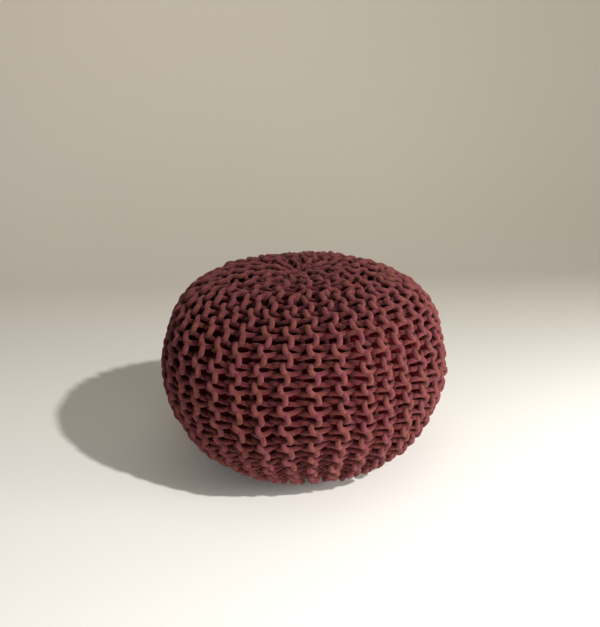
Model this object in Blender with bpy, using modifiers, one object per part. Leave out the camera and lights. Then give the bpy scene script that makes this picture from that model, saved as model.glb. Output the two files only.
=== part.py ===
"""A round knitted pouf: one filled body with raised ribs that run from pole to pole.

Metres, +Z up. The origin is the middle of the flat underside, on the floor.
"""

import math

import bmesh
import bpy
import numpy as np

# The stuffed shape, measured over the ribs
DIAMETER = 0.500
EQUATOR_HEIGHT = 0.165
TOP_RISE = 0.184
TOP_SQUARENESS = 2.72
LOWER_DEPTH = 0.194
LOWER_SQUARENESS = 2.15

# The top is drawn in at the pole, where the rows are gathered
DIMPLE_DEPTH = 0.008
DIMPLE_RADIUS = 0.040

# The knitting: ribs side by side, each a chain of stitches that sway left and right
RIBS = 38
FIRST_RIB_ANGLE = math.radians(-86.9)
RIB_HEIGHT = 0.013
CREST_HALF_WIDTH = 0.0042
STITCH_LENGTH = 0.0317
FIRST_STITCH = 0.00875
SWAY = 0.0038

# Every second rib stops short of the top, and then every second one of the rest
SHORT_ROW_END = 0.140
INNER_ROW_END = 0.062
ROW_FADE = 0.022

# The ribs sink towards the gathered pole, and are pressed flat at the floor
POLE_FADE = 0.100
FLOOR_FADE = 0.035

# Columns of points across a rib: side of its middle, and whether it is on the crest
COLUMNS = (
    {"name": "left_crest", "side": -1, "on_crest": True},
    {"name": "right_crest", "side": 1, "on_crest": True},
    {"name": "groove", "side": 0, "on_crest": False},
)
RIB_SPACING = math.tau / RIBS
WIDEST_CREST = 0.4 * RIB_SPACING
GROOVE_SHIFT = 0.3 * RIB_SPACING
ENDED_CREST_SHARE = 0.25

PROFILE_SAMPLES = 4000
SHARP_ANGLE = math.radians(70)

YARN_COLOUR = (0.175, 0.058, 0.056, 1.0)
YARN_ROUGHNESS = 0.9


def quarter_curve(half_width, height, squareness):
    """Superellipse from its end on the axis out to its widest point: radii and heights."""
    angle = np.linspace(0.0, math.pi / 2, PROFILE_SAMPLES)
    radii = half_width * np.sin(angle) ** (2 / squareness)
    heights = height * np.cos(angle) ** (2 / squareness)
    return radii, heights


def meridian():
    """The surface over the ribs, from the pole to the floor: arc lengths, radii, heights."""
    top_radii, rises = quarter_curve(DIAMETER / 2, TOP_RISE, TOP_SQUARENESS)
    rises = rises - DIMPLE_DEPTH * np.exp(-((top_radii / DIMPLE_RADIUS) ** 2))
    low_radii, drops = quarter_curve(DIAMETER / 2, LOWER_DEPTH, LOWER_SQUARENESS)
    low_radii, drops = low_radii[::-1][1:], drops[::-1][1:]
    above_floor = drops < EQUATOR_HEIGHT
    radii = np.concatenate([top_radii, low_radii[above_floor]])
    heights = EQUATOR_HEIGHT + np.concatenate([rises, -drops[above_floor]])
    heights[-1] = 0.0
    steps = np.hypot(np.diff(radii), np.diff(heights))
    arcs = np.concatenate([[0.0], np.cumsum(steps)])
    return arcs, radii, heights


def ring_rows():
    """Rings half a stitch apart: arc length, radius, height and the direction inward."""
    arcs, radii, heights = meridian()
    floor_arc = arcs[-1]
    spacing = STITCH_LENGTH / 2
    row_arcs = np.arange(FIRST_STITCH, floor_arc - spacing / 2, spacing)
    row_arcs = np.append(row_arcs, floor_arc)
    along_radius = np.gradient(radii, arcs, edge_order=1)
    along_height = np.gradient(heights, arcs, edge_order=1)
    rows = []
    for arc in row_arcs:
        radius = float(np.interp(arc, arcs, radii))
        height = float(np.interp(arc, arcs, heights))
        slope = np.array([np.interp(arc, arcs, along_radius), np.interp(arc, arcs, along_height)])
        slope /= np.linalg.norm(slope)
        rows.append(
            {"arc": float(arc), "radius": radius, "height": height, "inward": (slope[1], -slope[0])}
        )
    return rows


def smooth_step(value):
    value = min(max(value, 0.0), 1.0)
    return value * value * (3 - 2 * value)


def rib_share(rib, arc):
    """How much of this rib stands here: 0 above its end, 1 below it."""
    if rib % 2:
        end = SHORT_ROW_END
    elif rib % 4:
        end = INNER_ROW_END
    else:
        return 1.0
    return smooth_step((arc - end) / ROW_FADE + 0.5)


def turned_skin(rows):
    """The plain skin as a turned surface, open at the pole and at the floor."""
    profile = bpy.data.meshes.new("profile")
    points = [(row["radius"], 0.0, row["height"]) for row in rows]
    profile.from_pydata(points, [(i, i + 1) for i in range(len(points) - 1)], [])
    guide = bpy.data.objects.new("profile", profile)
    bpy.context.scene.collection.objects.link(guide)
    guide.rotation_euler.z = FIRST_RIB_ANGLE
    turn = guide.modifiers.new("turn", "SCREW")
    turn.steps = RIBS * len(COLUMNS)
    turn.render_steps = turn.steps
    turn.use_merge_vertices = True
    turn.merge_threshold = 0.0001
    bpy.context.view_layer.update()
    evaluated = guide.evaluated_get(bpy.context.evaluated_depsgraph_get())
    skin = bpy.data.meshes.new_from_object(evaluated)
    skin.transform(guide.matrix_world)
    bpy.data.objects.remove(guide)
    bpy.data.meshes.remove(profile)
    return skin


def column_angle(rib, column, row, sway):
    """Where a column of points stands round the axis, from the middle of the first rib."""
    share = rib_share(rib, row["arc"])
    if column["on_crest"]:
        half_width = CREST_HALF_WIDTH * (ENDED_CREST_SHARE + (1 - ENDED_CREST_SHARE) * share)
        offset = (column["side"] * half_width + sway * share) / row["radius"]
        return rib * RIB_SPACING + min(max(offset, -WIDEST_CREST), WIDEST_CREST)
    next_share = rib_share((rib + 1) % RIBS, row["arc"])
    return (rib + 0.5) * RIB_SPACING + GROOVE_SHIFT * (share - next_share)


def raise_ribs(skin, rows):
    """Sinks the grooves of the plain skin and sways its crests, ring by ring."""
    floor_arc = rows[-1]["arc"]
    places = np.array([(row["radius"], row["height"]) for row in rows])
    column_count = RIBS * len(COLUMNS)
    for vertex in skin.vertices:
        radius = math.hypot(vertex.co.x, vertex.co.y)
        number = int(np.argmin(np.hypot(*(places - (radius, vertex.co.z)).T)))
        if number == 0:
            continue
        row = rows[number]
        turned = math.atan2(vertex.co.y, vertex.co.x) - FIRST_RIB_ANGLE
        step = round(turned / math.tau * column_count) % column_count
        rib, place = divmod(step, len(COLUMNS))
        column = COLUMNS[place]
        depth = RIB_HEIGHT * smooth_step(row["arc"] / POLE_FADE)
        depth *= smooth_step((floor_arc - row["arc"]) / FLOOR_FADE)
        if column["on_crest"]:
            depth *= 1 - rib_share(rib, row["arc"])
        sway = -SWAY if number % 2 else SWAY
        angle = FIRST_RIB_ANGLE + column_angle(rib, column, row, sway)
        radius = row["radius"] + depth * row["inward"][0]
        height = row["height"] + depth * row["inward"][1]
        vertex.co = (radius * math.cos(angle), radius * math.sin(angle), height)


def close_ends(skin):
    """Fills the gathered pole and the flat underside, each with one face."""
    shell = bmesh.new()
    shell.from_mesh(skin)
    open_edges = [edge for edge in shell.edges if edge.is_boundary]
    bmesh.ops.edgeloop_fill(shell, edges=open_edges)
    bmesh.ops.recalc_face_normals(shell, faces=shell.faces[:])
    shell.to_mesh(skin)
    shell.free()


def yarn_material():
    material = bpy.data.materials.new("marsala_cotton_cord")
    material.use_nodes = True
    surface = material.node_tree.nodes["Principled BSDF"]
    surface.inputs["Base Color"].default_value = YARN_COLOUR
    surface.inputs["Roughness"].default_value = YARN_ROUGHNESS
    surface.inputs["Metallic"].default_value = 0.0
    return material


def knitted_body(collection):
    rows = ring_rows()
    skin = turned_skin(rows)
    raise_ribs(skin, rows)
    close_ends(skin)
    skin.name = "knitted_body"
    skin.materials.clear()
    skin.materials.append(yarn_material())
    skin.shade_smooth()
    skin.set_sharp_from_angle(angle=SHARP_ANGLE)
    body = bpy.data.objects.new("knitted_body", skin)
    collection.objects.link(body)


def main():
    for old in list(bpy.data.objects):
        bpy.data.objects.remove(old)
    collection = bpy.data.collections.new("knitted_pouf")
    bpy.context.scene.collection.children.link(collection)
    knitted_body(collection)


main()
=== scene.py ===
import math

import bpy
import numpy as np
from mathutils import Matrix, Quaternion, Vector


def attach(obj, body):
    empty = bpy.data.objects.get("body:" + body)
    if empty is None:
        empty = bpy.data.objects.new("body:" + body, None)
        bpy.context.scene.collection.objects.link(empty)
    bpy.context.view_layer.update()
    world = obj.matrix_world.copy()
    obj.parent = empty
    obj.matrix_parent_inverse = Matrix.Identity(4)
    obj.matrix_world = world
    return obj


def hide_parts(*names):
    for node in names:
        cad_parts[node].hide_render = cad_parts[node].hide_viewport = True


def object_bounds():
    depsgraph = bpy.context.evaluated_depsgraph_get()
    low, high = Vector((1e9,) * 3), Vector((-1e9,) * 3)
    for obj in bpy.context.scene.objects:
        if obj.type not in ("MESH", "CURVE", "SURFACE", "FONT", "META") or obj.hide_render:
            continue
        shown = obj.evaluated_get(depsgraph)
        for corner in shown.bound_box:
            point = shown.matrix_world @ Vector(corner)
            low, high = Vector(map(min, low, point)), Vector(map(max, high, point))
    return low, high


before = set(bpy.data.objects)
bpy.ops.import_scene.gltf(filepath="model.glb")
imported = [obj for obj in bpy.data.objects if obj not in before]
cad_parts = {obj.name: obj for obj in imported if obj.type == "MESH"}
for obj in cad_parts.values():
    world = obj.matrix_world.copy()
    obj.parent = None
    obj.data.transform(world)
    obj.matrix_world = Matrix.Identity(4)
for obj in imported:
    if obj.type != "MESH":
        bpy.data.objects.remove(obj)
cadLow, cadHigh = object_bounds()
print("frame loaded, box", tuple(cadLow), tuple(cadHigh))

scene = bpy.context.scene
scene.view_settings.view_transform = "Standard"

# the stuffed shape over the ribs, as in the CAD: one superellipse above the widest place, one below
pouf = {
    "radius": (cadHigh.x - cadLow.x) / 2,
    "equatorHeight": 0.165,
    "topRise": 0.184,
    "topSquareness": 2.72,
    "lowerDepth": 0.194,
    "lowerSquareness": 2.15,
    "dimpleDepth": 0.008,
    "dimpleRadius": 0.040,
    "floorRounding": 0.006,  # how softly the side turns into the flat underside
    "samples": 3000,
    "poleGap": 0.0005,  # no cord comes nearer than this to a pole
    "leastRadius": 0.004,  # nearer the axis, a sideways move turns no further than it does here
}
bodyMiddle = Vector((0, 0, pouf["equatorHeight"]))

# the knitting: ridges run from pole to pole, with a row of stitches on each side of every ridge,
# where -1 is the row left of its ridge and 1 the row right of it
knitting = {
    "ridges": 38,
    "firstRidge": math.radians(3.1),
    "stitch": 0.0317,
    "firstStitch": -0.0053,
    "cordRadius": 0.0044,
    "rowThickness": {-1: 1.04, 1: 1.0},
    "legThinning": 0.25,  # how much thinner the cord is where it lies deepest
    "halfThickness": 0.0112,  # from the surface over the ribs in to the middle of the fabric
    "loopWaves": {-1: (-0.036, 0.116, -0.024), 1: (-0.070, 0.160, -0.042)},  # along the row
    "barStraightness": 0.09,
    "barLean": {-1: 0.0006, 1: 0.0030},
    "reachPastRidge": 0.0052,
    "reachPastGroove": 0.0040,
    "roomyRow": 0.0035,  # where half a row is narrower than this, it reaches less far past its sides
    "leastReach": 0.15,  # the share of the reach that is left at the poles
    "barLift": 0.0062,
    "backLift": -0.0078,
    "lateRise": 0.45,  # the share of the rise that comes late, near the middle of the bar
    "rightRowDrop": 0.0002,
    "barEndDip": {"depth": 0.0030, "at": 0.72, "width": 0.17, "fullAt": 0.6},
    "ridgeStarts": (0.009, 0.1395, 0.042, 0.1395),  # from the pole, for each four ridges in turn
    "rightRowLater": 0.33,  # stitches
    "turnPoints": 24,
    "turnBulge": 1.2,
    "finePoints": 96,  # to a stitch, before they are spaced out
    "pointsPerStitch": 20,
    "bendWeight": 0.008,
    "sharpestBend": 300.0,
    "sides": 12,
    "sectors": 5,
}
ridgeSpacing = math.tau / knitting["ridges"]


def smoothStep(value, low, high):
    share = np.clip((value - low) / (high - low), 0.0, 1.0)
    return share * share * (3 - 2 * share)


def through(value, zone):
    # 0 before the zone and 1 past it
    return smoothStep(value, zone["from"], zone["to"])


def superellipse(width, height, squareness):
    turn = np.linspace(0.0, math.pi / 2, pouf["samples"])
    return width * np.sin(turn) ** (2 / squareness), height * np.cos(turn) ** (2 / squareness)


def makeMeridian():
    # outer surface from the top pole to the middle of the underside, with its outward normal
    topRadius, rise = superellipse(pouf["radius"], pouf["topRise"], pouf["topSquareness"])
    rise = rise - pouf["dimpleDepth"] * np.exp(-((topRadius / pouf["dimpleRadius"]) ** 2))
    lowRadius, drop = superellipse(pouf["radius"], pouf["lowerDepth"], pouf["lowerSquareness"])
    radius = np.concatenate([topRadius, lowRadius[::-1][1:]])
    free = pouf["equatorHeight"] + np.concatenate([rise, -drop[::-1][1:]])
    height = 0.5 * (free + np.sqrt(free**2 + pouf["floorRounding"] ** 2))
    arc = np.concatenate([[0.0], np.cumsum(np.hypot(np.diff(radius), np.diff(height)))])
    even = np.linspace(0.0, arc[-1], pouf["samples"])
    radius, height = np.interp(even, arc, radius), np.interp(even, arc, height)
    alongRadius, alongHeight = np.gradient(radius, even), np.gradient(height, even)
    size = np.hypot(alongRadius, alongHeight)
    return {
        "arc": even,
        "radius": radius,
        "height": height,
        "outRadius": -alongHeight / size,
        "outHeight": alongRadius / size,
    }


meridian = makeMeridian()
arcLength = meridian["arc"][-1]
print("pole to pole", round(arcLength, 4), "m")


def onMeridian(key, arc):
    return np.interp(arc, meridian["arc"], meridian[key])


def fromPole(arc):
    return np.minimum(arc, arcLength - arc)


def offPoles(arc):
    return np.clip(arc, pouf["poleGap"], arcLength - pouf["poleGap"])


def middleRadius(arc):
    radius = onMeridian("radius", arc) - knitting["halfThickness"] * onMeridian("outRadius", arc)
    return np.maximum(radius, pouf["leastRadius"])


def placeOnBody(arc, angle, lift):
    # arc from the top pole, angle round the axis from the front, lift over the middle of the fabric
    depth = lift - knitting["halfThickness"]
    radius = onMeridian("radius", arc) + depth * onMeridian("outRadius", arc)
    height = onMeridian("height", arc) + depth * onMeridian("outHeight", arc)
    height = np.maximum(height, knitting["cordRadius"] * knitting["rowThickness"][-1])
    return np.stack([radius * np.sin(angle), -radius * np.cos(angle), height], -1)


# where the rows lie: every second ridge is short and ends before each pole
rows = {
    "shortEnd": 0.132,
    "endBlend": 0.022,
    "pairShift": math.radians(1.3),  # at its end a short ridge leans away from the long one before it
    "pairShiftReach": 0.035,
    "flatInner": {"share": 0.30, "from": 0.125, "to": 0.165},  # the relief is lower near the poles
    "floorPress": {"lift": 0.0020, "from": 0.110, "to": 0.150},
    "innerEnd": {"sink": 0.012, "from": 0.038, "to": 0.075},
    "poleEnd": {"sink": 0.006, "from": 0.0, "to": 0.016},
}


def isShort(ridge):
    return ridge % 2 == 1


def isInner(ridge):
    # every second long ridge ends a little before the poles
    return ridge % 4 == 2


def pastShortEnd(arc):
    # 0 on the pole's side of where the short ridges end and 1 beyond it
    low, high = rows["shortEnd"] - rows["endBlend"], rows["shortEnd"] + rows["endBlend"]
    return smoothStep(fromPole(arc), low, high)


def spreadOf(ridge, arc):
    # the rows of a long ridge widen where the short ridges beside them have ended
    return np.ones_like(arc) if isShort(ridge) else 2.0 - pastShortEnd(arc)


def ridgeAngle(ridge, arc):
    near = np.exp(-(((fromPole(arc) - rows["shortEnd"]) / rows["pairShiftReach"]) ** 2))
    shift = rows["pairShift"] * near * (1 if isShort(ridge) else -1)
    return knitting["firstRidge"] + ridgeSpacing * ridge + shift


def rowAngles(ridge, arc):
    # from the middle of a row to its ridge, and to the groove on its other side
    toRidge = spreadOf(ridge, arc) * ridgeSpacing / 4
    toGroove = ridgeSpacing / 2 - (ridgeSpacing / 4) * (spreadOf(0, arc) + 1) / 2
    if not isShort(ridge):
        alone = ridgeSpacing - toRidge
        toGroove = alone + (toGroove - alone) * pastShortEnd(arc)
    return toRidge, toGroove


# hand knitting is never quite even
unevenness = {
    "alongStitch": 0.0011,
    "acrossStitch": 0.0007,
    "outOfStitch": 0.0005,
    "mostOff": 2,
    "stitchSeed": 1000,
    "spareMarks": 8,
    "waves": 16,
    "waveRange": (0.6, 1.5),
    "fields": (
        {"size": 0.050, "move": 0.0011, "out": 0.0006, "seed": 11},
        {"size": 0.160, "move": 0.0020, "out": 0.0016, "seed": 12},
    ),
    "poleLump": {"size": 0.040, "out": 0.0026, "seed": 13, "reach": 0.070},
    "awayFromPole": {"from": 0.02, "to": 0.10},
    # the stitches hang lower at both sides of the front, and sit higher on its upper part
    "frontMiddle": -8.0,  # degrees
    "besideFront": {"size": 0.0090, "from": 18.0, "to": 48.0},
    "frontFade": {"from": 90.0, "to": 165.0},
    "upperPart": {"size": 0.0050, "from": 0.200, "to": 0.265},
}


def stitchChange(ridge, side, stitches):
    # each half stitch is a little off its place: along, across and out
    chance = np.random.default_rng(unevenness["stitchSeed"] + 2 * ridge + (side > 0))
    count = 2 * int(arcLength / knitting["stitch"]) + unevenness["spareMarks"]
    marks = np.clip(chance.normal(size=(count, 3)), -unevenness["mostOff"], unevenness["mostOff"])
    place = 2 * (stitches + 1)
    below = np.floor(place).astype(int)
    share = smoothStep(place - below, 0, 1)[:, None]
    return marks[below] * (1 - share) + marks[below + 1] * share


def smoothField(points, size, seed):
    # a smooth random field, as a sum of waves in all directions
    chance = np.random.default_rng(seed)
    count = unevenness["waves"]
    direction = chance.normal(size=(count, 3))
    direction /= np.linalg.norm(direction, axis=1)[:, None]
    direction *= math.tau / size * chance.uniform(*unevenness["waveRange"], (count, 1))
    weight = chance.normal(size=(count, 3)) * math.sqrt(2 / count)
    return np.sin(points @ direction.T + chance.uniform(0, math.tau, count)) @ weight


def settledBy(arc, angle):
    # how far the stitches of the front have slid down
    beside = np.abs((np.degrees(angle) - unevenness["frontMiddle"] + 180) % 360 - 180)
    down = unevenness["besideFront"]["size"] * through(beside, unevenness["besideFront"])
    down = down - unevenness["upperPart"]["size"] * (1 - through(arc, unevenness["upperPart"]))
    return down * (1 - through(beside, unevenness["frontFade"]))


def makeUneven(arc, angle, lift):
    # neighbours move together here, so that no stitch passes another
    press, lump = rows["floorPress"], unevenness["poleLump"]
    base = placeOnBody(arc, angle, 0.0)
    radius = middleRadius(arc)
    away = through(fromPole(arc), unevenness["awayFromPole"])
    arc = arc + settledBy(arc, angle) * away
    for field in unevenness["fields"]:
        shift = smoothField(base, field["size"], field["seed"])
        arc = arc + field["move"] * shift[:, 0] * away
        angle = angle + field["move"] * shift[:, 1] * away / radius
        lift = lift + field["out"] * shift[:, 2]
    onFloor = (arc > arcLength / 2) * (1 - through(arcLength - arc, press))
    lift = lift + press["lift"] * onFloor
    shift = smoothField(base, lump["size"], lump["seed"])
    near = np.exp(-((fromPole(arc) / lump["reach"]) ** 2)) * (arc < arcLength / 2)
    return arc, angle, lift + lump["out"] * shift[:, 2] * near


# the fabric is pulled apart beside the end of each short ridge
holes = {
    "fromPole": 0.157,
    "besideRidge": 0.0065,
    "width": 0.009,
    "height": 0.013,
    "push": 0.0045,
    "core": 0.0005,  # closer to its middle than this, a hole pushes less
    "sink": 0.0030,
}


def openHoles(arc, angle, lift):
    radius = middleRadius(arc)
    shortRidge = knitting["firstRidge"] + ridgeSpacing + rows["pairShift"]
    middle = shortRidge + holes["besideRidge"] / radius
    across = ((angle - middle + ridgeSpacing) % (2 * ridgeSpacing) - ridgeSpacing) * radius
    along = (fromPole(arc) - holes["fromPole"]) * np.where(arc < arcLength / 2, 1, -1)
    near = np.exp(-((across / holes["width"]) ** 2) - (along / holes["height"]) ** 2)
    push = holes["push"] * near / (np.hypot(across, along) + holes["core"])
    return arc + push * along, angle + push * across / radius, lift - holes["sink"] * near


def rowLift(side, onRidge, fromBar):
    # how far the cord stands out, from deep in the groove (onRidge 0) to the top of the bar (1)
    late = knitting["lateRise"]
    rise = late * onRidge**4 + (1 - late) * (1 - (1 - onRidge) ** 3)
    lift = knitting["backLift"] + (knitting["barLift"] - knitting["backLift"]) * rise
    if side > 0:
        lift = lift - knitting["rightRowDrop"] * rise
    # the lower end of each left bar and the upper end of each right one dip, with a crevice between
    dip = knitting["barEndDip"]
    dipping = smoothStep(-side * np.sin(fromBar), 0.0, dip["fullAt"])
    return lift - dip["depth"] * dipping * np.exp(-(((onRidge - dip["at"]) / dip["width"]) ** 2))


def rowPath(ridge, side, stitches):
    # one row of stitches: side is -1 left of its ridge and 1 right of it; stitches counts along the row
    straight = knitting["barStraightness"]
    turn = math.tau * stitches
    fromBar = turn if side > 0 else turn + math.pi
    across = -(np.cos(turn) - straight * np.cos(3 * turn)) / (1 - straight)
    towardsRidge = (-side * across + 1) / 2
    onRidge = np.clip(towardsRidge, 0.0, 1.0)
    waves = enumerate(knitting["loopWaves"][side], start=1)
    swing = sum(size * np.sin(wave * fromBar) for wave, size in waves)
    arc = offPoles(knitting["firstStitch"] + knitting["stitch"] * (stitches + swing))
    radius = middleRadius(arc)
    toRidge, toGroove = rowAngles(ridge, arc)
    room = radius * ridgeSpacing / 4 / knitting["roomyRow"]
    room = np.clip(room, knitting["leastReach"], 1.0)
    reachRidge = toRidge * radius + knitting["reachPastRidge"] * room
    reachGroove = toGroove * radius + knitting["reachPastGroove"] * room
    reach = reachGroove + (reachRidge - reachGroove) * towardsRidge
    sideways = side * toRidge * radius + across * reach
    sideways = sideways + knitting["barLean"][side] * room * onRidge * np.sin(fromBar)
    change = stitchChange(ridge, side, stitches)
    sideways = sideways + unevenness["acrossStitch"] * room * change[:, 1]
    arc = offPoles(arc + unevenness["alongStitch"] * change[:, 0])
    lift = rowLift(side, onRidge, fromBar) + unevenness["outOfStitch"] * change[:, 2]
    flat = 1 - rows["flatInner"]["share"] * (1 - through(fromPole(arc), rows["flatInner"]))
    return arc, ridgeAngle(ridge, arc) + sideways / radius, lift * flat


def bridge(start, end):
    # a smooth turn from the last point of one row to the first of the next
    lead, trail = start[-1] - start[-2], end[1] - end[0]
    pull = np.linalg.norm(end[0] - start[-1]) * knitting["turnBulge"]
    lead = lead / np.linalg.norm(lead) * pull
    trail = trail / np.linalg.norm(trail) * pull
    share = np.linspace(0.0, 1.0, knitting["turnPoints"] + 2)[1:-1, None]
    return (
        (2 * share**3 - 3 * share**2 + 1) * start[-1]
        + (share**3 - 2 * share**2 + share) * lead
        + (-2 * share**3 + 3 * share**2) * end[0]
        + (share**3 - share**2) * trail
    )


def spaceOut(path, lift, thickness, count):
    # fewer points where the cord runs straight and more where it bends
    step = np.gradient(path, axis=0)
    length = np.linalg.norm(step, axis=1)
    heading = step / length[:, None]
    bend = np.linalg.norm(np.gradient(heading, axis=0), axis=1) / length
    weight = length * (1 + knitting["bendWeight"] * np.minimum(bend, knitting["sharpestBend"]))
    total = np.concatenate([[0.0], np.cumsum(0.5 * (weight[1:] + weight[:-1]))])
    number = np.arange(len(path))
    places = np.interp(np.linspace(0.0, total[-1], count), total, number)
    spaced = [np.interp(places, number, values) for values in (*path.T, lift, thickness)]
    return np.stack(spaced[:3], -1), spaced[3], spaced[4]


def ridgeCord(ridge):
    # from the underside up the left row of the ridge, round at the top and down the right row
    start = knitting["ridgeStarts"][ridge % 4]
    first = (start - knitting["firstStitch"]) / knitting["stitch"]
    last = (arcLength - start - knitting["firstStitch"]) / knitting["stitch"]
    count = int((last - first) * knitting["finePoints"]) + 1
    rightFirst = first + knitting["rightRowLater"]
    paths, lifts, thickness = [], [], []
    for side, begin, end in ((-1, last, first), (1, rightFirst, last)):
        even = rowPath(ridge, side, np.linspace(begin, end, count))
        arc, angle, lift = makeUneven(*openHoles(*even))
        away = fromPole(arc)
        if isInner(ridge):
            lift = lift - rows["innerEnd"]["sink"] * (1 - through(away, rows["innerEnd"]))
        if not isShort(ridge):
            lift = lift - rows["poleEnd"]["sink"] * (1 - through(away, rows["poleEnd"]))
        paths.append(placeOnBody(arc, angle, lift))
        lifts.append(even[2])
        thickness.append(np.full(count, knitting["rowThickness"][side]))
    turn = bridge(*paths)
    paths.insert(1, turn)
    lifts.insert(1, np.linspace(lifts[0][-1], lifts[1][0], len(turn)))
    thickness.insert(1, np.linspace(thickness[0][-1], thickness[1][0], len(turn)))
    path, lift, thickness = map(np.concatenate, (paths, lifts, thickness))
    return spaceOut(path, lift, thickness, int(2 * (last - first) * knitting["pointsPerStitch"]))


def tube(path, radius, sides):
    # rings of points round a path, carried along it without twisting, and the length up to each ring
    tangent = np.gradient(path, axis=0)
    tangent /= np.linalg.norm(tangent, axis=1)[:, None]
    normal = np.cross(tangent[0], (0.0, 0.0, 1.0))
    normal /= np.linalg.norm(normal)
    normals = [normal]
    for direction in tangent[1:]:
        normal = normal - direction * (normal @ direction)
        normal = normal / np.linalg.norm(normal)
        normals.append(normal)
    normals = np.array(normals)
    binormals = np.cross(tangent, normals)
    turn = np.linspace(0.0, math.tau, sides, endpoint=False)[None, :, None]
    ring = np.cos(turn) * normals[:, None] + np.sin(turn) * binormals[:, None]
    points = path[:, None] + np.reshape(radius, (-1, 1, 1)) * ring
    length = np.concatenate([[0.0], np.cumsum(np.linalg.norm(np.diff(path, axis=0), axis=1))])
    return points.reshape(-1, 3), length


def cordFaces(length, sides):
    # quads between the rings and a face on each end: corners, corners to a face, and UV places
    rings = len(length)
    ring, side = np.meshgrid(np.arange(rings - 1), np.arange(sides), indexing="ij")
    here, there = ring * sides, (ring + 1) * sides
    after = (side + 1) % sides
    quads = np.stack([here + side, here + after, there + after, there + side], -1)
    along = np.stack([length[ring], length[ring], length[ring + 1], length[ring + 1]], -1)
    around = np.stack([side, side + 1, side + 1, side], -1) / sides
    caps = np.concatenate([np.arange(sides)[::-1], (rings - 1) * sides + np.arange(sides)])
    corners = np.concatenate([quads.ravel(), caps])
    sizes = np.concatenate([np.full((rings - 1) * sides, 4), [sides, sides]])
    uvs = np.concatenate([np.stack([along, around], -1).reshape(-1, 2), np.zeros((len(caps), 2))])
    return corners, sizes, uvs


def cordMesh(name, cords):
    # many cords as one mesh, with how far each point is raised as an attribute
    sides = knitting["sides"]
    parts = []
    base = 0
    for path, lift, thickness in cords:
        raised = smoothStep(lift, knitting["backLift"], knitting["barLift"])
        radius = knitting["cordRadius"] * thickness * (1 - knitting["legThinning"] * (1 - raised))
        points, length = tube(path, radius, sides)
        corners, sizes, uvs = cordFaces(length, sides)
        parts.append((points, base + corners, sizes, uvs, np.repeat(raised, sides)))
        base += len(points)
    points, corners, sizes, uvs, raised = map(np.concatenate, zip(*parts))
    starts = np.concatenate([[0], np.cumsum(sizes)[:-1]])
    mesh = bpy.data.meshes.new(name)
    mesh.vertices.add(len(points))
    mesh.vertices.foreach_set("co", points.astype(np.float32).ravel())
    mesh.loops.add(len(corners))
    mesh.loops.foreach_set("vertex_index", corners.astype(np.int32))
    mesh.polygons.add(len(sizes))
    mesh.polygons.foreach_set("loop_start", starts.astype(np.int32))
    uvLayer = mesh.uv_layers.new(name="alongCord")
    mesh.update(calc_edges=True)
    uvLayer.data.foreach_set("uv", uvs.astype(np.float32).ravel())
    mesh.polygons.foreach_set("use_smooth", np.ones(len(sizes), dtype=bool))
    raisedLayer = mesh.attributes.new("raised", "FLOAT", "POINT")
    raisedLayer.data.foreach_set("value", raised.astype(np.float32))
    mesh.update()
    piece = bpy.data.objects.new(name, mesh)
    scene.collection.objects.link(piece)
    return piece


def newMaterial(name, inputs):
    material = bpy.data.materials.new(name)
    material.use_nodes = True
    shader = material.node_tree.nodes["Principled BSDF"]
    for socketName, value in inputs.items():
        shader.inputs[socketName].default_value = value
    return material


def feed(tree, socket, value):
    # value is a number, a colour or the output of another node
    if isinstance(value, bpy.types.NodeSocket):
        tree.links.new(value, socket)
    else:
        socket.default_value = value


def addNode(tree, kind, place, inputs=None, **settings):
    node = tree.nodes.new(kind)
    node.location = place
    for name, value in settings.items():
        setattr(node, name, value)
    for name, value in (inputs or {}).items():
        feed(tree, node.inputs[name], value)
    return node


def addMath(tree, operation, place, *values):
    node = addNode(tree, "ShaderNodeMath", place, operation=operation)
    for socket, value in zip(node.inputs, values):
        feed(tree, socket, value)
    return node.outputs[0]


def addNoise(tree, place, where, scale, detail, roughness=0.5):
    inputs = {"Vector": where, "Scale": scale, "Detail": detail, "Roughness": roughness}
    return addNode(tree, "ShaderNodeTexNoise", place, inputs, noise_dimensions="3D").outputs["Fac"]


def addRange(tree, place, value, given, wanted, **settings):
    # given and wanted are the low and the high end of a range, before and after
    inputs = {"Value": value, "From Min": given[0], "From Max": given[1]}
    inputs |= {"To Min": wanted[0], "To Max": wanted[1]}
    return addNode(tree, "ShaderNodeMapRange", place, inputs, **settings).outputs["Result"]


def addRamp(tree, place, value, first, last, *between):
    # every stop is a position and a colour
    ramp = addNode(tree, "ShaderNodeValToRGB", place, {"Fac": value})
    stops = ramp.color_ramp.elements
    for stop, (position, colour) in zip(stops, (first, last)):
        stop.position = position
        stop.color = colour
    for position, colour in between:
        stops.new(position).color = colour
    return ramp.outputs["Color"]


def addMix(tree, place, factor, first, second, blend="MIX"):
    inputs = {"Factor": factor, "A": first, "B": second}
    mix = addNode(tree, "ShaderNodeMix", place, inputs, data_type="RGBA", blend_type=blend)
    return mix.outputs["Result"]


def addBump(tree, place, height, depth, normal=None):
    bump = addNode(tree, "ShaderNodeBump", place, {"Strength": 1.0, "Distance": depth, "Height": height})
    if normal is not None:
        feed(tree, bump.inputs["Normal"], normal)
    return bump.outputs["Normal"]


def newGroup(name, ins, outs):
    # ins and outs name each socket and its kind
    group = bpy.data.node_groups.new(name, "ShaderNodeTree")
    for direction, sockets in (("INPUT", ins), ("OUTPUT", outs)):
        for socketName, kind in sockets.items():
            group.interface.new_socket(socketName, in_out=direction, socket_type="NodeSocket" + kind)
    start = addNode(group, "NodeGroupInput", (-900, 0))
    end = addNode(group, "NodeGroupOutput", (900, 0))
    return group, start.outputs, end.inputs


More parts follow.
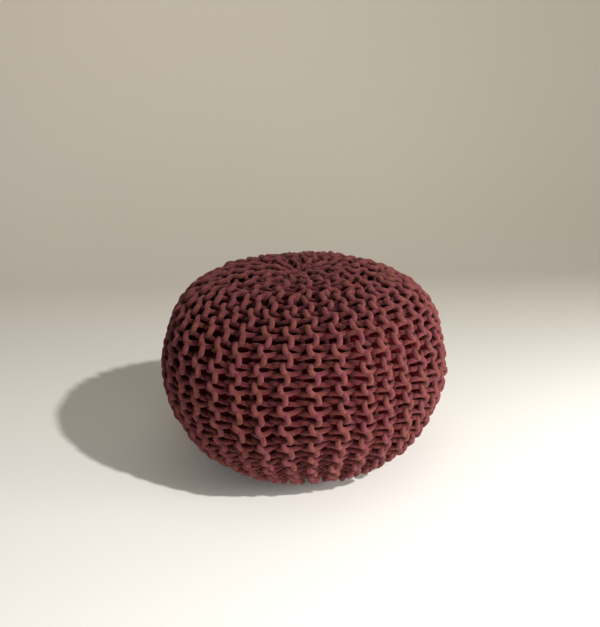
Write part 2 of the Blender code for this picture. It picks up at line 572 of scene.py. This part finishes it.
def makeBraid():
    # strands of a braided cord cross each other: a grid of small lozenges round the cord
    group, start, end = newGroup(
        "braidedCord",
        {"Cord": "Vector", "Strands": "Float", "Lay": "Float", "Crown": "Float"},
        {"Height": "Float", "Valley": "Float"},
    )
    cord = addNode(group, "ShaderNodeSeparateXYZ", (-700, 0), {"Vector": start["Cord"]}).outputs
    along = addMath(group, "DIVIDE", (-500, 100), cord["X"], start["Lay"])
    around = addMath(group, "MULTIPLY", (-500, -100), cord["Y"], start["Strands"])
    waves = []
    for operation, level in (("ADD", 120), ("SUBTRACT", -120)):
        lay = addMath(group, operation, (-300, level), around, along)
        turned = addMath(group, "MULTIPLY", (-160, level), lay, math.pi)
        wave = addMath(group, "SINE", (-20, level), turned)
        waves.append(addMath(group, "ABSOLUTE", (120, level), wave))
    crossing = addMath(group, "MULTIPLY", (280, 0), *waves)
    height = addMath(group, "POWER", (440, 60), crossing, start["Crown"])
    feed(group, end["Height"], height)
    feed(group, end["Valley"], addMath(group, "SUBTRACT", (600, -80), 1.0, height))
    return group


def makeFibres():
    # loose cotton fibres: fine uneven relief
    group, start, end = newGroup(
        "cottonFibres",
        {"Place": "Vector", "Scale": "Float", "Detail": "Float", "Roughness": "Float"},
        {"Height": "Float"},
    )
    settings = (start[name] for name in ("Place", "Scale", "Detail", "Roughness"))
    feed(group, end["Height"], addNoise(group, (-400, 100), *settings))
    return group


# the dye takes unevenly: patches of two other colours, and light and dark lengths of cord
dyeing = {
    "patches": {"Warm": 78.0, "Pink": 62.0},  # scale
    "patchRange": (0.50, 0.70),
    "patchShare": (0.0, 0.75),
    "mottle": 130.0,  # scale
    "mottleRoughness": 0.7,
    "mottleRange": (0.3, 0.7),
    "lightness": (0.70, 1.30),
    "detail": 4.0,
}


def makeDye():
    group, start, end = newGroup(
        "unevenDye",
        {"Place": "Vector", "Colour": "Color", "Warm": "Color", "Pink": "Color"},
        {"Colour": "Color"},
    )
    place, detail = start["Place"], dyeing["detail"]
    colour = start["Colour"]
    for number, (name, scale) in enumerate(dyeing["patches"].items()):
        left = 300 * number - 700
        patch = addNoise(group, (left, 300), place, scale, detail)
        share = addRange(group, (left + 200, 300), patch, dyeing["patchRange"], dyeing["patchShare"])
        colour = addMix(group, (left + 350, 0), share, colour, start[name])
    mottle = addNoise(group, (100, 300), place, dyeing["mottle"], detail, dyeing["mottleRoughness"])
    lightness = addRange(group, (300, 300), mottle, dyeing["mottleRange"], dyeing["lightness"])
    tone = addNode(group, "ShaderNodeHueSaturation", (550, 0), {"Value": lightness, "Color": colour})
    feed(group, end["Colour"], tone.outputs["Color"])
    return group


braidGroup, fibreGroup, dyeGroup = makeBraid(), makeFibres(), makeDye()

# the cord: its dye on the ridges, painted shade that deepens the red where the cord lies low, darkens it
# between its strands and where cords meet, and its relief
yarn = {
    "surface": {
        "Specular IOR Level": 0.18,
        "Sheen Weight": 0.20,
        "Sheen Roughness": 0.5,
        "Sheen Tint": (0.9, 0.40, 0.38, 1),
    },
    "dye": {
        "Colour": (0.160, 0.0415, 0.0410, 1),
        "Warm": (0.200, 0.062, 0.026, 1),
        "Pink": (0.158, 0.032, 0.058, 1),
    },
    # painted shade: the red deepens for cord part way down and deep in the fabric
    "middle": (0.142, 0.0290, 0.0300, 1),
    "deep": (0.080, 0.0056, 0.0070, 1),
    "shadeLevels": {"deep": 0.20, "middle": 0.55, "full": 0.95},
    # painted shade between the strands of the braid
    "strandShade": (0.45, 0.25, 0.25, 1),
    "valleyShade": 0.6,
    # painted shade where cords meet, by ambient occlusion
    "crevice": (0.30, 0.12, 0.13, 1),
    "creviceReach": 0.014,
    "creviceRange": (0.20, 0.80),
    "roughness": (0.80, 0.98),
    "braid": {"Strands": 8.0, "Lay": 0.0055, "Crown": 1.1},
    "braidDepth": 0.0008,
    "fibres": {"Scale": 900.0, "Detail": 3.0, "Roughness": 0.65},
    "fibreDepth": 0.0004,
}
white = (1, 1, 1, 1)


def againstDye(colour):
    # what the dye is multiplied by to give this colour
    return tuple(part / dyed for part, dyed in zip(colour, yarn["dye"]["Colour"]))


def makeYarn():
    material = newMaterial("marsalaCottonCord", yarn["surface"])
    tree = material.node_tree
    shader = tree.nodes["Principled BSDF"].inputs
    place = addNode(tree, "ShaderNodeTexCoord", (-1500, 0)).outputs["Object"]
    cordUv = addNode(tree, "ShaderNodeUVMap", (-1500, -300), uv_map="alongCord").outputs["UV"]
    raised = addNode(tree, "ShaderNodeAttribute", (-1500, 300), attribute_name="raised").outputs["Fac"]
    groups = []
    for level, group, inputs in (
        (0, dyeGroup, {"Place": place, **yarn["dye"]}),
        (-300, braidGroup, {"Cord": cordUv, **yarn["braid"]}),
        (-500, fibreGroup, {"Place": place, **yarn["fibres"]}),
    ):
        groups.append(addNode(tree, "ShaderNodeGroup", (-1200, level), inputs, node_tree=group).outputs)
    dye, braid, fibres = groups
    # painted shade: deeper red where the cord lies low, darker between its strands, and darkest where
    # cords meet
    shadeLevels = yarn["shadeLevels"]
    # painted shade: the colour darkens as the raised attribute falls, where the cord lies low
    depth = addRamp(
        tree,
        (-1000, 350),
        raised,
        (shadeLevels["deep"], againstDye(yarn["deep"])),
        (shadeLevels["full"], white),
        (shadeLevels["middle"], againstDye(yarn["middle"])),
    )
    colour = addMix(tree, (-650, 200), 1.0, dye["Colour"], depth, "MULTIPLY")
    # painted shade between the braid's strands, from the braid's valleys
    strandShade = addMath(tree, "MULTIPLY", (-650, -50), braid["Valley"], yarn["valleyShade"])
    colour = addMix(tree, (-400, 200), strandShade, colour, yarn["strandShade"], "MULTIPLY")
    # painted shade where cords come close to each other, from ambient occlusion
    reach = {"Distance": yarn["creviceReach"]}
    near = addNode(tree, "ShaderNodeAmbientOcclusion", (-400, 500), reach, samples=8).outputs["AO"]
    dark, light = yarn["creviceRange"]
    crevice = addRamp(tree, (-200, 500), near, (dark, yarn["crevice"]), (light, white))
    colour = addMix(tree, (100, 300), 1.0, colour, crevice, "MULTIPLY")
    feed(tree, shader["Base Color"], colour)
    rough = addRange(tree, (-400, -100), fibres["Height"], (0.0, 1.0), yarn["roughness"])
    feed(tree, shader["Roughness"], rough)
    normal = addBump(tree, (-600, -300), braid["Height"], yarn["braidDepth"])
    normal = addBump(tree, (-400, -500), fibres["Height"], yarn["fibreDepth"], normal)
    feed(tree, shader["Normal"], normal)
    return material


yarnMaterial = makeYarn()
print("yarn made")

knitPieces = []
for sector in range(knitting["sectors"]):
    edges = [round(knitting["ridges"] * edge / knitting["sectors"]) for edge in (sector, sector + 1)]
    piece = cordMesh(f"knitStitches{sector + 1}", [ridgeCord(ridge) for ridge in range(*edges)])
    piece.data.materials.append(yarnMaterial)
    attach(piece, "root")
    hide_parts("knitted_body")
    knitPieces.append(piece)
    print(piece.name, "with", edges[1] - edges[0], "ridges and", len(piece.data.polygons), "faces")


# the stuffed inside, which shows dark between the stitches; its near-black colour is partly its own and
# partly painted shade for the shadow deep in the gaps
inside = {
    "segments": 96,
    "rings": 64,
    "depth": 0.0118,
    "surface": {
        "Base Color": (0.060, 0.0044, 0.0056, 1),
        "Roughness": 1.0,
        "Specular IOR Level": 0.0,
    },
}


def makeInside():
    # a sphere is laid out along the body, under the middle of the fabric
    bpy.ops.object.select_all(action="DESELECT")
    bpy.ops.mesh.primitive_uv_sphere_add(segments=inside["segments"], ring_count=inside["rings"], radius=1)
    piece = bpy.context.object
    piece.name = "stuffedInside"
    for vertex in piece.data.vertices:
        arc = math.acos(max(-1.0, min(1.0, vertex.co.z))) / math.pi * arcLength
        angle = math.atan2(vertex.co.x, -vertex.co.y)
        vertex.co = placeOnBody(arc, angle, -inside["depth"])
    bpy.ops.object.shade_smooth()
    # its near-black colour is partly painted shade for the gaps
    piece.data.materials.append(newMaterial("insideWithGapShade", inside["surface"]))
    return piece


insidePiece = makeInside()
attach(insidePiece, "root")
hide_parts("knitted_body")
print("inside made")


# floor and backdrop: one pale sheet that curves up far behind
floorSheet = {"halfWidth": 8.0, "front": -8.0, "back": 2.0, "height": 4.0, "bend": 0.9, "segments": 24}

# painted shade: its paper gets darker and greyer towards the back, and there towards the right as well, as
# the lamps' light falls off
paper = {
    "surface": {"Roughness": 0.8, "Specular IOR Level": 0.2},
    "Y": {"range": (-0.5, 1.6), "start": (0.90, 0.87, 0.82, 1), "end": (0.58, 0.53, 0.45, 1)},
    "X": {"range": (-1.3, 1.5), "start": white, "end": (0.62, 0.62, 0.60, 1)},
}


def makePaper():
    material = newMaterial("palePaperWithFalloffShade", paper["surface"])
    tree = material.node_tree
    where = addNode(tree, "ShaderNodeTexCoord", (-1100, 0)).outputs["Object"]
    place = addNode(tree, "ShaderNodeSeparateXYZ", (-900, 0), {"Vector": where}).outputs
    smooth = {"interpolation_type": "SMOOTHSTEP"}
    shares, colours = [], []
    for axis, level in (("Y", 150), ("X", -150)):
        fade = paper[axis]
        share = addRange(tree, (-700, level), place[axis], fade["range"], (0.0, 1.0), **smooth)
        shares.append(share)
        colours.append(addRamp(tree, (-450, level), share, (0.0, fade["start"]), (1.0, fade["end"])))
    # painted shade: the fades towards the back and towards the right multiply the paper's colour
    shade = addMix(tree, (-150, 0), shares[0], *colours, "MULTIPLY")
    feed(tree, tree.nodes["Principled BSDF"].inputs["Base Color"], shade)
    return material


def selectEdges(sheet, isWanted):
    # leaves the sheet in edit mode with only those edges selected whose both ends are wanted
    bpy.ops.object.mode_set(mode="EDIT")
    bpy.ops.mesh.select_mode(type="EDGE")
    bpy.ops.mesh.select_all(action="DESELECT")
    bpy.ops.object.mode_set(mode="OBJECT")
    for edge in sheet.data.edges:
        edge.select = all(isWanted(sheet.data.vertices[end].co) for end in edge.vertices)
    bpy.ops.object.mode_set(mode="EDIT")


def isAtBack(point):
    return point.y > 0


def isAtFold(point):
    return isAtBack(point) and point.z < floorSheet["height"] / 2


def makeFloor():
    bpy.ops.object.select_all(action="DESELECT")
    bpy.ops.mesh.primitive_plane_add(size=2)
    sheet = bpy.context.object
    sheet.name = "paleFloorSheet"
    for vertex in sheet.data.vertices:
        vertex.co.x *= floorSheet["halfWidth"]
        vertex.co.y = floorSheet["back"] if isAtBack(vertex.co) else floorSheet["front"]
    selectEdges(sheet, isAtBack)
    bpy.ops.mesh.extrude_region_move(TRANSFORM_OT_translate={"value": (0, 0, floorSheet["height"])})
    selectEdges(sheet, isAtFold)
    bpy.ops.mesh.bevel(offset=floorSheet["bend"], segments=floorSheet["segments"], affect="EDGES")
    bpy.ops.object.mode_set(mode="OBJECT")
    bpy.ops.object.shade_smooth()
    sheet.data.materials.append(makePaper())
    return sheet


floorPiece = makeFloor()
print("floor made")


# the camera as fitted to the outline: where it stands, and where in the picture the body's middle falls
view = {
    "distance": 1.375,
    "elevation": math.radians(22.3),
    "roll": math.radians(-1.73),
    "focalPixels": 771.0,
    "picture": (600, 627),
    "bodyPixel": (304.0, 361.5),
    "sensor": 36.0,
}


def makeCamera():
    data = bpy.data.cameras.new("camera")
    camera = bpy.data.objects.new("camera", data)
    scene.collection.objects.link(camera)
    data.sensor_width = view["sensor"]
    data.lens = view["focalPixels"] / max(view["picture"]) * view["sensor"]
    back = Vector((0, -math.cos(view["elevation"]), math.sin(view["elevation"])))
    camera.location = bodyMiddle + back * view["distance"]
    facing = (-back).to_track_quat("-Z", "Y")
    right, down = (
        (pixel - size / 2) / view["focalPixels"] for pixel, size in zip(view["bodyPixel"], view["picture"])
    )
    aim = Vector((0, 0, -1)).rotation_difference(Vector((right, -down, -1)))
    roll = Quaternion((0, 0, 1), view["roll"])
    camera.rotation_mode = "QUATERNION"
    camera.rotation_quaternion = facing @ roll @ aim.inverted()
    scene.camera = camera


makeCamera()
print("camera placed")


# lights round the body: azimuth from its right towards the viewer, elevation, distance, size and power
lights = {
    "key": {"azimuth": 37.7, "elevation": 39.8, "distance": 5.0, "size": 0.20, "power": 224.0},
    "overhead": {"azimuth": 40.0, "elevation": 80.0, "distance": 2.5, "size": 1.5, "power": 3.0},
    "lowRight": {"azimuth": 20.0, "elevation": 4.0, "distance": 1.35, "size": 0.55, "power": 13.5},
    "lowFront": {"azimuth": 75.0, "elevation": 2.0, "distance": 1.35, "size": 0.5, "power": 7.4},
    "behind": {"azimuth": 240.0, "elevation": 14.0, "distance": 1.6, "size": 0.8, "power": 9.0},
}
room = {"colour": (1.0, 0.98, 0.95, 1), "glow": 0.25}


def makeLight(name, light):
    azimuth, elevation = math.radians(light["azimuth"]), math.radians(light["elevation"])
    flat = math.cos(elevation)
    away = Vector((math.cos(azimuth) * flat, -math.sin(azimuth) * flat, math.sin(elevation)))
    data = bpy.data.lights.new(name, "AREA")
    data.shape = "DISK"
    data.size = light["size"]
    data.energy = light["power"]
    lamp = bpy.data.objects.new(name, data)
    lamp.location = bodyMiddle + away * light["distance"]
    lamp.rotation_euler = (-away).to_track_quat("-Z", "Y").to_euler()
    lamp.visible_camera = False
    scene.collection.objects.link(lamp)
    return lamp


def makeRoom():
    world = bpy.data.worlds.new("softRoom")
    world.use_nodes = True
    background = world.node_tree.nodes["Background"]
    background.inputs["Color"].default_value = room["colour"]
    background.inputs["Strength"].default_value = room["glow"]
    scene.world = world


lamps = {name: makeLight(name, light) for name, light in lights.items()}
makeRoom()

# the light behind reaches the pouf alone, so that its shadow on the floor stays as it is
litFromBehind = bpy.data.collections.new("litFromBehind")
for piece in knitPieces + [insidePiece]:
    litFromBehind.objects.link(piece)
lamps["behind"].light_linking.receiver_collection = litFromBehind
print("lights placed")
